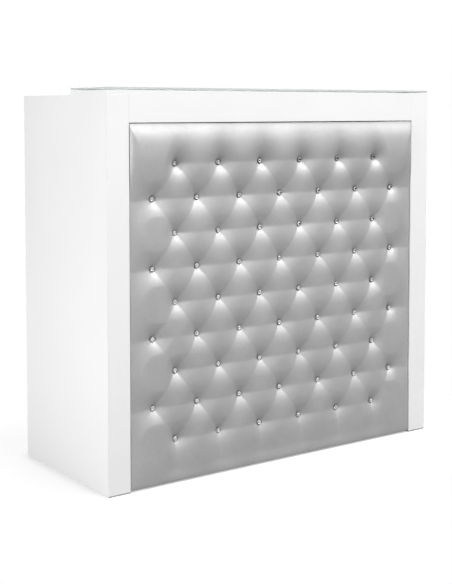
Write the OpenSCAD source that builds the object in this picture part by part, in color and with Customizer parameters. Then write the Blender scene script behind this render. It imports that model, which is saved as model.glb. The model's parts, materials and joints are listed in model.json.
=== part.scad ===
// Reception desk with a tufted front panel, glass counter, worktop, drawer and cupboard.
// Millimetres. The origin is on the floor under the middle of the desk; the customer's side faces -Y.

/* [Overall] */
// Width over the side panels
desk_w = 1200; // [1100:10:1400]
// Depth from the front face to the rear edges of the side panels
desk_d = 490; // [475:5:600]
// Height of the side panels
carcass_h = 1095; // [1070:5:1160]
// Depth of the customer counter
counter_d = 198; // [150:1:230]

/* [Boards] */
// Thickness of the carcass boards
board_t = 18; // [16:1:22]
// Thickness of the counter cap
cap_t = 12; // [11:1:18]
// Width of the front stiles
stile_w = 70; // [55:1:85]
// Height of the front top rail
rail_h = 76; // [60:1:90]
// Gap between the front stiles and the floor
foot_t = 3; // [2:1:7]
// Depth of the foot strips
foot_d = 40; // [20:1:50]

/* [Glass] */
// Thickness of the counter glass
glass_t = 6; // [5:1:10]
// Thickness of the clear bumpers under the glass
bumper_t = 2; // [1:0.5:3]
// Diameter of a bumper
bumper_d = 12; // [8:1:16]
// Distance from the glass edge to the bumpers
bumper_inset = 30; // [20:1:45]
// Bumpers in a row
bumper_count = 5; // [2:1:7]

/* [Upholstery] */
// Thickness of the padding at its crown
pad_t = 39; // [34:1:45]
// Distance of the crown behind the front face
pad_recess = 3; // [1:1:8]
// Gap round the upholstered panel
pad_gap = 2; // [1:1:5]
// Height of the panel's lower edge above the floor
pad_floor_gap = 5; // [4:1:12]
// Radius of the rolled edge
roll_r = 8; // [5:1:12]
// Fall of the padding at the panel's upper edge
top_fall = 19; // [10:1:20]
// Distance below the upper edge in which that fall shrinks to about a third
top_reach = 25; // [15:1:30]
// How far the padding draws in at its back edge
pad_draw_in = 2; // [1:1:4]
// Thickness of the panel's backboard
backboard_t = 12; // [9:1:15]
// Distance of the outermost buttons from the panel's side edges
tuft_margin_x = 78; // [50:1:100]
// Distance of the lowest row from the panel's lower edge
tuft_margin_low = 120; // [70:1:140]
// Distance of the highest row from the panel's upper edge
tuft_margin_top = 112; // [70:1:140]
// Number of buttons in the wide rows
tuft_count = 7; // [5:1:7]
// Rows of buttons
tuft_rows = 9; // [5:2:9]
// Depth of a button below the crown
dimple_depth = 14; // [10:1:16]
// Depth of the pleats halfway between buttons
pleat_depth = 6; // [4:1:8]
// Depth beside a button, a quarter of the way to the next
shoulder_depth = 3; // [2:1:4]
// Depth of the crease that runs from an outermost button to the panel's side, halfway
crease_depth = 9; // [6:1:11]
// Diameter of a button's rim
rim_d = 16; // [13:1:18]
// Height of the rim
rim_h = 4; // [3.5:0.5:5]
// Height of the crystal's seat inside the rim
crystal_seat = 2.6; // [2.4:0.1:3]
// Diameter of the crystal
crystal_d = 12.6; // [10:0.1:14]
// Height of the crystal above its rim
crystal_rise = 3; // [2:0.5:4]
// Diameter of the nail behind a button
nail_d = 2.4; // [2:0.1:3]
// How deep a nail goes into the backboard
nail_bite = 9; // [6:1:10]

/* [Worktop] */
// Height of the worktop's upper face
worktop_top = 765; // [750:1:780]
// Thickness of the worktop
worktop_t = 25; // [22:1:28]
// Distance of the worktop's edge inside the rear edges of the side panels
worktop_inset = 10; // [5:1:20]
// Height of a worktop cleat
cleat_h = 30; // [24:1:40]
// Thickness of a worktop cleat
cleat_t = 20; // [16:1:24]
// Screws in a cleat
cleat_screw_count = 3; // [2:1:4]
// Diameter of the cleat screws
cleat_screw_d = 4; // [3.5:0.5:5]
// Distance of the cable grommet from the desk's middle
grommet_x = 300; // [250:5:400]
// Distance of the cable grommet behind the front board
grommet_y = 80; // [60:5:110]
// Diameter of the grommet hole in the worktop
grommet_d = 60; // [54:1:70]
// Wall of the grommet ring
grommet_wall = 2.4; // [2:0.1:3]
// Width of the grommet's flange beyond the hole
grommet_flange = 4; // [3:1:6]
// Thickness of the flange
grommet_flange_t = 2; // [1.5:0.5:3]
// Thickness of the turning cap
grommet_cap_t = 3; // [2:0.5:4]
// Width of the cable notch in the cap
notch_w = 14; // [10:1:18]
// Depth of the cable notch
notch_d = 13; // [10:1:15]

/* [Pedestal] */
// Clear width inside the pedestal
pedestal_w = 382; // [350:1:430]
// Distance of the fronts' outer faces inside the rear edges of the side panels
front_inset = 31.5; // [30:0.5:40]
// Rest gap between a front and the carcass
front_gap = 0.5; // [0.3:0.1:1]
// Gap between neighbouring fronts
seam = 3; // [2:0.5:4]
// Height of the plinth under the pedestal
plinth_h = 60; // [45:1:80]
// Setback of the plinth behind the carcass edges
plinth_setback = 30; // [20:1:50]
// Thickness of the adjustable shelf
shelf_t = 16; // [14:1:18]
// Play of the shelf at each side
shelf_play = 1; // [0.5:0.5:2]
// Distance between shelf pin holes
pin_pitch = 32; // [25:1:32]
// Shelf pin holes in a column
pin_holes = 5; // [3:2:5]
// Diameter of a shelf pin
pin_d = 5; // [4:1:6]
// Length of a shelf pin in its hole
pin_in = 8; // [6:1:10]
// Length of a shelf pin's seat under the shelf
pin_out = 9; // [7:1:12]

/* [Drawer] */
// Height of the drawer front
drawer_front_h = 150; // [140:1:160]
// Height of the drawer sides
drawer_side_h = 100; // [80:1:102]
// Thickness of the drawer sides and back
drawer_side_t = 12; // [12:1:15]
// Thickness of the drawer bottom
drawer_floor_t = 5; // [4:0.5:6]
// Depth of the groove that holds the drawer bottom
groove_depth = 5; // [4:0.5:6]
// Distance of that groove above the sides' lower edge
groove_rise = 12; // [10:1:16]
// Space under the drawer box
drawer_under = 12; // [10:1:16]
// Gap between the front board and the drawer slides
slide_end_gap = 18; // [14:1:30]
// Length in which a slide's members still overlap when the drawer is out
slide_overlap = 50; // [45:1:100]
// Width taken by one slide between carcass and drawer
slide_w = 12.7; // [12.4:0.1:13.4]
// Height of a slide's cabinet member
slide_h = 45; // [42:1:46]
// Sheet thickness of the slides
slide_sheet = 1.2; // [1:0.1:1.4]
// Diameter of the balls
ball_d = 3.9; // [3.5:0.1:4]
// Balls in one row
balls_each = 6; // [4:1:8]
// Sheet thickness of the ball cages
cage_sheet = 0.6; // [0.5:0.1:0.7]

/* [Lock] */
// Diameter of the lock housing
lock_d = 16; // [15:0.5:18]
// Diameter of the turning plug
plug_d = 11; // [10:0.5:12]
// Distance of the lock below the drawer front's upper edge
lock_drop = 19; // [18:1:22]
// Length of the cam from the plug's axis to its tip
cam_reach = 29; // [28:0.5:30]
// Width of the cam
cam_w = 12; // [11:1:13]
// Thickness of the cam
cam_t = 2; // [1.5:0.5:2.5]
// Depth of the pocket that receives the cam in the worktop
pocket_h = 12; // [11:1:14]
// Play of the cam in that pocket, front and rear
pocket_play = 2; // [1.5:0.5:3]

/* [Handles] */
// Distance between the posts of a handle
handle_pitch = 128; // [96:32:160]
// Length of a handle beyond each post
handle_over = 16; // [8:1:30]
// Diameter of a handle bar
handle_d = 10; // [8:1:11]
// Diameter of a handle post
post_d = 8; // [7:1:9]
// Distance of the bar's axis from the front
handle_stand = 22; // [20:1:24]
// Diameter of the handle screws
handle_screw_d = 4; // [3.5:0.5:5]
// Distance of the door handle from the door's free edge
door_handle_in = 40; // [30:1:60]

/* [Door] */
// Length of a hinge
hinge_l = 60; // [50:2:80]
// Distance of the hinges from the door's ends
hinge_end = 70; // [50:5:100]
// Radius of a hinge knuckle
knuckle_r = 3.5; // [3:0.1:3.6]
// Diameter of a hinge pin
hinge_pin_d = 3; // [2.5:0.1:3.2]
// Thickness of a hinge leaf
leaf_t = 1.2; // [1:0.1:1.2]
// Width of the leaf that lies on its board
leaf_w = 15; // [12:1:16]
// Length of the magnetic catch
catch_l = 44; // [36:1:50]
// Depth of the magnetic catch
catch_d = 30; // [24:1:36]
// Height of the magnetic catch
catch_h = 14; // [12:1:16]
// Thickness of the strike plate on the door
strike_t = 1.2; // [1:0.1:1.5]

/* [Fittings] */
// Diameter of a cam disc
cam_disc_d = 15; // [12:1:16]
// Height of a cam disc
cam_disc_h = 12; // [11:0.5:13]
// Distance of a cam disc from the board's end
cam_inset = 34; // [30:1:40]
// Diameter of a cam bolt
cam_bolt_d = 6; // [5:0.5:7]
// How deep a cam bolt goes into the neighbouring board
cam_bite = 11; // [9:1:12]
// Diameter of a dowel
dowel_d = 8; // [6:1:8]
// Length of a dowel in a board's edge
dowel_deep = 20; // [16:1:26]
// Length of a dowel in a board's face
dowel_shallow = 9; // [7:1:10]
// Rows of screws that hold the upholstered panel
panel_screw_rows = 3; // [1:1:4]
// Diameter of those screws
panel_screw_d = 5; // [4:0.5:6]
// How deep those screws go into the backboard
panel_screw_bite = 9; // [7:1:10]
// Diameter of a glide
glide_d = 40; // [24:1:44]
// Diameter of a glide's nail
glide_nail_d = 4; // [3:0.5:5]
// Length of a glide's nail
glide_nail_l = 16; // [12:1:24]

/* [Hidden] */
$fn = 48;
// Radial clearance of fixed pieces in their holes
fit = 0.05;
// Radial clearance of turning pieces
run_fit = 0.08;
// Gap between seated pieces on different bodies
seat_gap = 0.3;
// Overlap that joins the shapes of one piece
bond = 0.4;
// Length by which a cutter passes a face
cut_past = 1;

// Setbacks of fittings from the edges of the boards that they join
dowel_end = 60;
side_dowel_end = 150;
rear_cap_dowel_end = 40;
rail_dowel_end = 212;
partition_dowel_end = 120;
cam_end = 60;
pin_end = 50;
partition_glide_end = 60;
glide_gap = 10;
glide_edge = 2;
glide_chamfer = 1.5;

// Details of the worktop's fittings
cleat_front_gap = 2;
cleat_rear_gap = 15;
cleat_side_gap = 20;
cleat_partition_gap = 40;
cleat_end = 40;
cap_play = 0.2;
ledge_w = 3;
ledge_t = 2;

// Details of the drawer, its slides and its lock
shelf_setback = 5;
box_short = 5;
slide_rise = 40;
cage_play = 0.25;
lip_play = 0.4;
cage_end = 5;
ball_end = 10;
cage_rim = 1;
housing_past = 2;
lock_flange_w = 2.5;
lock_flange_t = 2;
stem_r = 4;
nut_t = 3;
nut_r = 6.5;
keyway_w = 1.8;
keyway_h = 7;
keyway_depth = 8;

// Details of the handles and the door
drawer_handle_drop = 10;
door_handle_down = 60;
screw_head_h = 2.5;
screw_head_r = 4;
post_screw_l = 9;
leaf_screw_r = 1.5;
leaf_head_r = 2.6;
leaf_screw_l = 12;
catch_gap = 4;
strike_edge = 4;
strike_drop = 2;

// Details of the buttons and of the cam discs' cross slots
rim_chamfer = 1.5;
crystal_table = 0.6;
cross_l = 9;
cross_w = 1.6;
cross_depth = 2;

half_w = desk_w / 2;
front_y = -desk_d / 2;
rear_y = desk_d / 2;
side_in = half_w - board_t;
stile_in = half_w - stile_w;
frame_rear_y = front_y + board_t;
opening_top = carcass_h - rail_h;
cap_top = carcass_h + cap_t;
glass_z = cap_top + bumper_t;
crown_y = front_y + pad_recess;
pad_rear_y = crown_y + pad_t;
board_y = pad_rear_y + backboard_t;
board_rear_y = board_y + board_t;
counter_rear_y = front_y + counter_d;
worktop_z = worktop_top - worktop_t;
worktop_rear_y = rear_y - worktop_inset;

// Upholstered panel
pad_half_w = stile_in - pad_gap;
pad_low = pad_floor_gap;
pad_high = opening_top - pad_gap;
last_u = 2 * (tuft_count - 1);
last_v = 2 * (tuft_rows - 1);
field_x = pad_half_w - tuft_margin_x;
field_low = pad_low + tuft_margin_low;
field_high = pad_high - tuft_margin_top;
step_x = field_x / last_u;
step_z = (field_high - field_low) / last_v;
seat_y = crown_y + dimple_depth;

// Pedestal
partition_x = side_in - pedestal_w - board_t;
bay_x = partition_x + board_t;
fronts_out_y = rear_y - front_inset;
fronts_in_y = fronts_out_y - board_t;
carcass_rear_y = fronts_in_y - front_gap;
front_x0 = partition_x + seam / 2;
front_x1 = side_in - seam;
drawer_front_top = worktop_z - seam;
drawer_front_low = drawer_front_top - drawer_front_h;
door_top = drawer_front_low - seam;
door_low = plinth_h + seam / 2;
divider_top = drawer_front_low - seam / 2 + board_t / 2;
divider_low = divider_top - board_t;
floor_top = plinth_h + board_t;
plinth_y = carcass_rear_y - plinth_setback - board_t;
shelf_rear_y = carcass_rear_y - shelf_setback;
shelf_z = (floor_top + divider_low) / 2;
pin_z = shelf_z - pin_d / 2;
pin_ys = [board_rear_y + pin_end, carcass_rear_y - pin_end];

// Drawer
slide_l = carcass_rear_y - board_rear_y - slide_end_gap;
drawer_travel = slide_l - slide_overlap;
box_x0 = bay_x + slide_w;
box_x1 = side_in - slide_w;
box_low = divider_top + drawer_under;
box_high = box_low + drawer_side_h;
box_front_y = fronts_in_y - slide_l + box_short;
tray_z = box_low + groove_rise;
slide_y1 = carcass_rear_y;
slide_y0 = slide_y1 - slide_l;
slide_z = box_low + slide_rise;
ball_gap = ball_d + 2 * run_fit;
outer_lip = slide_h / 2 - slide_sheet;
middle_out = outer_lip - ball_gap;
middle_in = middle_out - slide_sheet;
inner_out = middle_in - ball_gap;
web_gap = cage_sheet + 2 * cage_play;
middle_x = slide_sheet + web_gap;
inner_tip_x = middle_x + slide_sheet + web_gap;
lip_tip_x = slide_w - slide_sheet - lip_play;
// A cage is as long as the slide's members overlap when the drawer is out
cage_l = slide_l - drawer_travel / 2 - 2 * cage_end;
cage_y0 = slide_y0 + drawer_travel / 4 + cage_end;
ball_step = (cage_l - 2 * ball_end) / (balls_each - 1);

// Lock
lock_x = (front_x0 + front_x1) / 2;
lock_z = drawer_front_top - lock_drop;
lock_rear_y = fronts_in_y - housing_past;
lock_out_y = fronts_out_y + lock_flange_t;
cam_y = lock_rear_y - seat_gap;

// Handles
drawer_handle_z = (drawer_front_low + drawer_front_top) / 2 - drawer_handle_drop;
door_handle_x = front_x0 + door_handle_in;
door_handle_z = door_top - door_handle_down - handle_pitch / 2;
bar_y = fronts_out_y + handle_stand;

// Door
axis_x = side_in - seat_gap - knuckle_r;
axis_y = fronts_out_y + seat_gap + knuckle_r;
hinge_zs = [door_low + hinge_end, door_top - hinge_end];
catch_x0 = bay_x + catch_gap;
catch_y1 = fronts_in_y - strike_t - seat_gap;

// Fittings
cam_ys = [board_rear_y + cam_end, carcass_rear_y - cam_end];
cam_centre_xs = [bay_x + cam_inset, side_in - cam_inset];
dowel_len = dowel_deep + dowel_shallow;
side_dowel_zs = [side_dowel_end, carcass_h / 2, carcass_h - side_dowel_end];
cap_dowel_ys = [front_y + dowel_end, counter_rear_y - rear_cap_dowel_end];
partition_dowel_zs = [partition_dowel_end, worktop_z - partition_dowel_end];
rail_dowel_xs = [-stile_in + rail_dowel_end, 0, stile_in - rail_dowel_end];
// Panel screws stand halfway between neighbouring buttons, where no nail is
panel_cols = [for (u = [1 - last_u, -3, 3, last_u - 1]) u * step_x];
panel_rows = [for (i = [0 : panel_screw_rows - 1]) field_low + (1 + 4 * i) * step_z];
front_glide_xs = [-stile_in + glide_d / 2, 0, stile_in - glide_d / 2];
front_glide_y = board_y + glide_nail_d / 2 + glide_edge;
partition_glide_ys = [board_rear_y + partition_glide_end, plinth_y - glide_d / 2 - glide_gap];

white = [0.95, 0.95, 0.95];
white_inside = [0.90, 0.90, 0.91];
steel = [0.72, 0.73, 0.75];
dark = [0.13, 0.13, 0.14];

// Helpers

// Box between two corners
module block(low, high) {
    translate(low) cube(high - low);
}

// Cylinder along X, Y or Z that starts at a point
module rod_x(at, r, len) {
    translate(at) rotate([0, 90, 0]) cylinder(r = r, h = len);
}

module rod_y(at, r, len) {
    translate(at) rotate([-90, 0, 0]) cylinder(r = r, h = len);
}

module rod_z(at, r, len) {
    translate(at) cylinder(r = r, h = len);
}

// Copy on the other side of the desk
module both_sides() {
    children();
    mirror([1, 0, 0]) children();
}

// Carcass fittings: extra is the clearance of their holes, and past lengthens a hole.

// Dowels from the front board's ends into the side panels
module side_dowels(extra = 0) {
    for (z = side_dowel_zs)
        both_sides() rod_x([side_in - dowel_deep - extra, (board_y + board_rear_y) / 2, z],
            dowel_d / 2 + extra, dowel_len + 2 * extra);
}

// Dowels between the counter cap and what it lies on
module cap_dowels(extra = 0) {
    for (y = cap_dowel_ys)
        both_sides() rod_z([half_w - board_t / 2, y, carcass_h - dowel_deep - extra],
            dowel_d / 2 + extra, dowel_len + 2 * extra);
    for (x = rail_dowel_xs)
        rod_z([x, front_y + board_t / 2, carcass_h - dowel_deep - extra],
            dowel_d / 2 + extra, dowel_len + 2 * extra);
}

// Dowels from the partition into the front board and the worktop
module partition_dowels(extra = 0) {
    for (z = partition_dowel_zs)
        rod_y([partition_x + board_t / 2, board_rear_y - dowel_shallow - extra, z],
            dowel_d / 2 + extra, dowel_len + 2 * extra);
    for (y = cam_ys)
        rod_z([partition_x + board_t / 2, y, worktop_z - dowel_deep - extra],
            dowel_d / 2 + extra, dowel_len + 2 * extra);
}

// Cam discs in the undersides of the pedestal's bottom and divider
module cam_disc_set(extra = 0, past = 0) {
    for (z = [plinth_h, divider_low])
        for (x = cam_centre_xs)
            for (y = cam_ys)
                rod_z([x, y, z - past], cam_disc_d / 2 + extra, cam_disc_h + extra + past);
}

// Cam bolts along the middle of those boards into the partition and the right side panel
module cam_bolt_set(extra = 0) {
    shank = cam_inset - cam_disc_d / 2 - seat_gap;
    for (z = [plinth_h + board_t / 2, divider_low + board_t / 2])
        for (y = cam_ys) {
            rod_x([bay_x - cam_bite - extra, y, z], cam_bolt_d / 2 + extra,
                cam_bite + shank + 2 * extra);
            rod_x([side_in - shank - extra, y, z], cam_bolt_d / 2 + extra,
                cam_bite + shank + 2 * extra);
        }
}

// Screws from behind through the front board into the backboard
module panel_screw_shanks(extra = 0) {
    for (x = panel_cols)
        for (z = panel_rows)
            rod_y([x, board_y - panel_screw_bite - extra, z], panel_screw_d / 2 + extra,
                panel_screw_bite + board_t + 2 * extra);
}

// Nails of the glides
module glide_nails(extra = 0) {
    for (x = front_glide_xs)
        rod_z([x, front_glide_y, pad_low - bond], glide_nail_d / 2 + extra,
            glide_nail_l + bond + extra);
}

// Outer shell and face frame

// Board with a mitred front edge, seen from above, for the left side
module mitred_side() {
    difference() {
        linear_extrude(carcass_h)
            polygon([[-half_w, front_y], [-half_w, rear_y], [-side_in, rear_y],
                [-side_in, frame_rear_y]]);
        side_dowels(fit);
        cap_dowels(fit);
    }
}

module side_panel_left() {
    color(white) mitred_side();
}

module side_panel_right() {
    color(white) difference() {
        mirror([1, 0, 0]) mitred_side();
        cam_bolt_set(fit);
        shelf_pin_bores();
        hinge_screw_bodies(fit, fit);
    }
}

module stile() {
    translate([0, 0, foot_t]) linear_extrude(carcass_h - foot_t)
        polygon([[-half_w, front_y], [-side_in, frame_rear_y], [-stile_in, frame_rear_y],
            [-stile_in, front_y]]);
}

module front_stile_left() {
    color(white) stile();
}

module front_stile_right() {
    color(white) mirror([1, 0, 0]) stile();
}

module front_top_rail() {
    color(white) difference() {
        block([-stile_in, front_y, opening_top], [stile_in, frame_rear_y, carcass_h]);
        cap_dowels(fit);
    }
}

// One strip under each stile, from its front face back to the reveal board
module foot_strips() {
    color([0.55, 0.55, 0.56]) both_sides()
        linear_extrude(foot_t)
            polygon([[stile_in, front_y], [half_w, front_y], [side_in, frame_rear_y],
                [side_in, front_y + foot_d], [stile_in, front_y + foot_d]]);
}

module reveal_side() {
    block([-stile_in - board_t, frame_rear_y, foot_t], [-stile_in, board_y, opening_top + board_t]);
}

module reveal_left() {
    color(white) reveal_side();
}

module reveal_right() {
    color(white) mirror([1, 0, 0]) reveal_side();
}

module reveal_top() {
    color(white) block([-stile_in, frame_rear_y, opening_top],
        [stile_in, board_y, opening_top + board_t]);
}

module front_board() {
    color(white_inside) difference() {
        block([-side_in, board_y, pad_floor_gap], [side_in, board_rear_y, carcass_h]);
        side_dowels(fit);
        partition_dowels(fit);
        panel_screw_shanks(fit);
        glide_nails(fit);
    }
}

// Counter

module counter_cap() {
    color(white) difference() {
        block([-half_w, front_y, carcass_h], [half_w, counter_rear_y, cap_top]);
        cap_dowels(fit);
    }
}

module counter_soffit() {
    color(white) block([-side_in, board_rear_y, opening_top],
        [side_in, counter_rear_y - board_t, opening_top + board_t]);
}

module counter_back_rail() {
    color(white) block([-side_in, counter_rear_y - board_t, opening_top],
        [side_in, counter_rear_y, carcass_h]);
}

module glass_bumpers() {
    step = (desk_w - 2 * bumper_inset) / (bumper_count - 1);
    color([0.9, 0.95, 0.95, 0.6])
        for (i = [0 : bumper_count - 1])
            for (y = [front_y + bumper_inset, counter_rear_y - bumper_inset])
                rod_z([-half_w + bumper_inset + i * step, y, cap_top], bumper_d / 2, bumper_t);
}

module counter_glass() {
    color([0.78, 0.88, 0.85, 0.5]) block([-half_w, front_y, glass_z],
        [half_w, counter_rear_y, glass_z + glass_t]);
}

// Upholstered panel

module backboard() {
    color([0.72, 0.60, 0.44]) difference() {
        block([-pad_half_w + pad_draw_in, pad_rear_y, pad_low + pad_draw_in],
            [pad_half_w - pad_draw_in, board_y, pad_high - pad_draw_in]);
        panel_screw_shanks(fit);
        button_places() rod_y([0, 0, 0], nail_d / 2 + fit, nail_reach + fit);
    }
}

// Buttons sit on a staggered lattice. u counts quarters of the pitch in a row from the middle,
// v counts halves of the pitch between rows from the lowest row. Wide and narrow rows alternate,
// and a narrow row has one button fewer.
function row_last(v) = v % 4 == 0 ? last_u - 2 : last_u;
function is_button(u, v) = v >= 0 && v <= last_v && v % 2 == 0 && abs(u) <= row_last(v)
    && (u + row_last(v)) % 4 == 0;

nail_reach = pad_rear_y - seat_y + nail_bite;

// Fall of the whole cover at a height: it turns in slowly below the top rail
function fall(z) = top_fall * exp((z - pad_high) / top_reach);

module button_places() {
    for (v = [0 : 2 : last_v])
        let (z = field_low + v * step_z)
            for (u = [-row_last(v) : 4 : row_last(v)])
                translate([u * step_x, seat_y + fall(z), z]) children();
}

// Depth of the cover below its crown at a lattice point
function touches_button(u, v) = is_button(u - 1, v) || is_button(u + 1, v)
    || is_button(u, v - 1) || is_button(u, v + 1);
function on_pleat(u, v) = (is_button(u - 1, v - 1) && is_button(u + 1, v + 1))
    || (is_button(u + 1, v - 1) && is_button(u - 1, v + 1));
function cover_depth(u, v) = is_button(u, v) ? dimple_depth
    : on_pleat(u, v) ? pleat_depth
    : !touches_button(u, v) ? 0
    : abs(u) > last_u ? crease_depth : shoulder_depth;

// Rolled edge: offsets from the outline as parts of the radius, and the drop of the cover there
roll_steps = [0, 0.15, 0.45, 1];
function roll_drop(s) = roll_r * (1 - sqrt(1 - pow(1 - s, 2)));

// Grid lines between the outer buttons and the rolled edge lie halfway
function line_x(u) = abs(u) <= last_u ? u * step_x : sign(u) * (field_x + pad_half_w - roll_r) / 2;
function line_z(v) = v < 0 ? (field_low + pad_low + roll_r) / 2
    : v > last_v ? (field_high + pad_high - roll_r) / 2 : field_low + v * step_z;

// Two more lines follow the fall, at these parts of the way from there to the upper roll
fall_steps = [0.4, 0.75];
function fall_line(t) = (1 - t) * line_z(last_v + 1) + t * (pad_high - roll_r);

// Grid lines across the panel, each as [place, lattice number, drop]; 99 lies off the lattice
off_grid = 99;
grid_x = concat(
    [for (s = roll_steps) [-pad_half_w + s * roll_r, off_grid, roll_drop(s)]],
    [for (u = [-last_u - 1 : last_u + 1]) [line_x(u), u, 0]],
    [for (i = [0 : 3]) let (s = roll_steps[3 - i]) [pad_half_w - s * roll_r, off_grid, roll_drop(s)]]);
grid_z = concat(
    [for (s = roll_steps) [pad_low + s * roll_r, off_grid, roll_drop(s)]],
    [for (v = [-1 : last_v + 1]) [line_z(v), v, 0]],
    [for (t = fall_steps) [fall_line(t), off_grid, 0]],
    [for (i = [0 : 3]) let (s = roll_steps[3 - i]) [pad_high - s * roll_r, off_grid, roll_drop(s)]]);
cols = len(grid_x);
rows = len(grid_z);

function cover_y(gx, gz) = crown_y + fall(gz[0]) + max(gx[2], gz[2],
    gx[1] == off_grid || gz[1] == off_grid ? 0 : cover_depth(gx[1], gz[1]));

// Quads are split along the pleats
function quad(i, j) = let (a = j * cols + i, b = a + 1, c = a + cols, d = c + 1)
    (grid_x[i][1] + grid_z[j][1]) % 2 == 0 ? [[a, d, b], [a, c, d]] : [[a, c, b], [b, c, d]];

// Outline of the grid, once round, as grid indices
rim_path = concat(
    [for (i = [0 : cols - 1]) i],
    [for (j = [1 : rows - 1]) j * cols + cols - 1],
    [for (i = [cols - 2 : -1 : 0]) (rows - 1) * cols + i],
    [for (j = [rows - 2 : -1 : 1]) j * cols]);

// The outline at the back is the front's, shrunk about its middle
function drawn_in(p, middle, half) = middle + (p - middle) * (1 - pad_draw_in / half);

module tufted_pad() {
    face = [for (gz = grid_z) for (gx = grid_x) [gx[0], cover_y(gx, gz), gz[0]]];
    n = len(rim_path);
    base = cols * rows;
    middle_z = (pad_low + pad_high) / 2;
    rear = [for (k = rim_path) [drawn_in(face[k][0], 0, pad_half_w), pad_rear_y,
        drawn_in(face[k][2], middle_z, pad_high - middle_z)]];
    middle = [[0, pad_rear_y, middle_z]];
    front_faces = [for (j = [0 : rows - 2]) for (i = [0 : cols - 2]) each quad(i, j)];
    wall_faces = [for (k = [0 : n - 1]) let (m = (k + 1) % n)
        each [[rim_path[k], rim_path[m], base + k], [rim_path[m], base + m, base + k]]];
    rear_faces = [for (k = [0 : n - 1]) [base + k, base + (k + 1) % n, base + n]];
    color([0.70, 0.71, 0.72])
        polyhedron(concat(face, rear, middle), concat(front_faces, wall_faces, rear_faces));
}

// Cup washer with its nail
module button_rims() {
    color(steel) button_places() {
        rotate([90, 0, 0]) rotate_extrude()
            polygon([[0, 0], [rim_d / 2 - rim_chamfer, 0], [rim_d / 2, rim_h / 2], [rim_d / 2, rim_h],
                [crystal_d / 2 + fit, rim_h], [crystal_d / 2 + fit, crystal_seat], [0, crystal_seat]]);
        rod_y([0, -bond, 0], nail_d / 2, nail_reach + bond);
    }
}

module button_crystals() {
    top = rim_h + crystal_rise;
    color([0.92, 0.94, 0.97, 0.8]) button_places()
        rotate([90, 0, 0]) rotate_extrude()
            polygon([[0, crystal_seat], [crystal_d / 2, crystal_seat], [crystal_d / 2, rim_h],
                [crystal_d * crystal_table / 2, top], [0, top]]);
}

module panel_screws() {
    color(steel) {
        panel_screw_shanks();
        for (x = panel_cols)
            for (z = panel_rows)
                rod_y([x, board_rear_y, z], panel_screw_d, screw_head_h);
    }
}

// Worktop

module worktop() {
    color(white_inside) difference() {
        block([-side_in, board_rear_y, worktop_z], [side_in, worktop_rear_y, worktop_top]);
        rod_z([-grommet_x, board_rear_y + grommet_y, worktop_z - cut_past], grommet_d / 2,
            worktop_t + 2 * cut_past);
        block([lock_x - cam_w, cam_y - cam_t - pocket_play, worktop_z - cut_past],
            [lock_x + cam_reach, cam_y + pocket_play, worktop_z + pocket_h]);
        partition_dowels(fit);
        cleat_screw_bodies(fit);
    }
}

cleat_y0 = board_rear_y + cleat_t + cleat_front_gap;
cleat_y1 = carcass_rear_y - cleat_rear_gap;
cleat_x0 = -side_in + cleat_t + cleat_side_gap;
cleat_x1 = partition_x - cleat_partition_gap;
cleat_z = worktop_z - cleat_h;

// Cleats on both side panels, and one on the front board beside the knee space
module worktop_cleats() {
    color([0.85, 0.76, 0.60]) difference() {
        union() {
            both_sides()
                block([-side_in, cleat_y0, cleat_z], [-side_in + cleat_t, cleat_y1, worktop_z]);
            block([cleat_x0, board_rear_y, cleat_z], [cleat_x1, board_rear_y + cleat_t, worktop_z]);
        }
        cleat_screw_bodies(fit);
    }
}

// Places of the screws in the cleats, seen from above
cleat_last = cleat_screw_count - 1;
cleat_places = concat(
    [for (i = [0 : cleat_last]) for (side = [-1, 1]) [side * (side_in - cleat_t / 2),
        cleat_y0 + cleat_end + i * (cleat_y1 - cleat_y0 - 2 * cleat_end) / cleat_last]],
    [for (i = [0 : cleat_last]) [cleat_x0 + cleat_end
        + i * (cleat_x1 - cleat_x0 - 2 * cleat_end) / cleat_last, board_rear_y + cleat_t / 2]]);

// Screws up into the worktop, from heads under the cleats
module cleat_screw_bodies(extra = 0) {
    for (at = cleat_places)
        rod_z([at[0], at[1], cleat_z - extra], cleat_screw_d / 2 + extra,
            cleat_h + worktop_t / 2 + 2 * extra);
}

module cleat_screws() {
    color(steel) {
        cleat_screw_bodies();
        for (at = cleat_places)
            rod_z([at[0], at[1], cleat_z - screw_head_h], cleat_screw_d, screw_head_h);
    }
}

cap_r = grommet_d / 2 - fit - grommet_wall - cap_play;
ledge_z = worktop_top + grommet_flange_t - grommet_cap_t - run_fit;

// Ring with a flange above the worktop and a ledge for the cap
module grommet_ring() {
    outer = grommet_d / 2 - fit;
    inner = outer - grommet_wall;
    color(steel) translate([-grommet_x, board_rear_y + grommet_y, 0]) rotate_extrude()
        polygon([[outer, worktop_z], [outer, worktop_top], [outer + grommet_flange, worktop_top],
            [outer + grommet_flange, worktop_top + grommet_flange_t],
            [inner, worktop_top + grommet_flange_t], [inner, ledge_z], [inner - ledge_w, ledge_z],
            [inner - ledge_w, ledge_z - ledge_t], [inner, ledge_z - ledge_t], [inner, worktop_z]]);
}

module grommet_cap() {
    color(steel) translate([-grommet_x, board_rear_y + grommet_y, ledge_z + run_fit])
        difference() {
            cylinder(r = cap_r, h = grommet_cap_t);
            block([-notch_w / 2, cap_r - notch_d, -cut_past],
                [notch_w / 2, cap_r + cut_past, grommet_cap_t + cut_past]);
        }
}

// Pedestal

module shelf_pin_bores() {
    for (i = [0 : pin_holes - 1])
        for (y = pin_ys) {
            z = pin_z + (i - (pin_holes - 1) / 2) * pin_pitch;
            rod_x([bay_x - pin_in - fit, y, z], pin_d / 2 + fit, pin_in + fit + cut_past);
            rod_x([side_in - cut_past, y, z], pin_d / 2 + fit, pin_in + fit + cut_past);
        }
}

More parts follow.
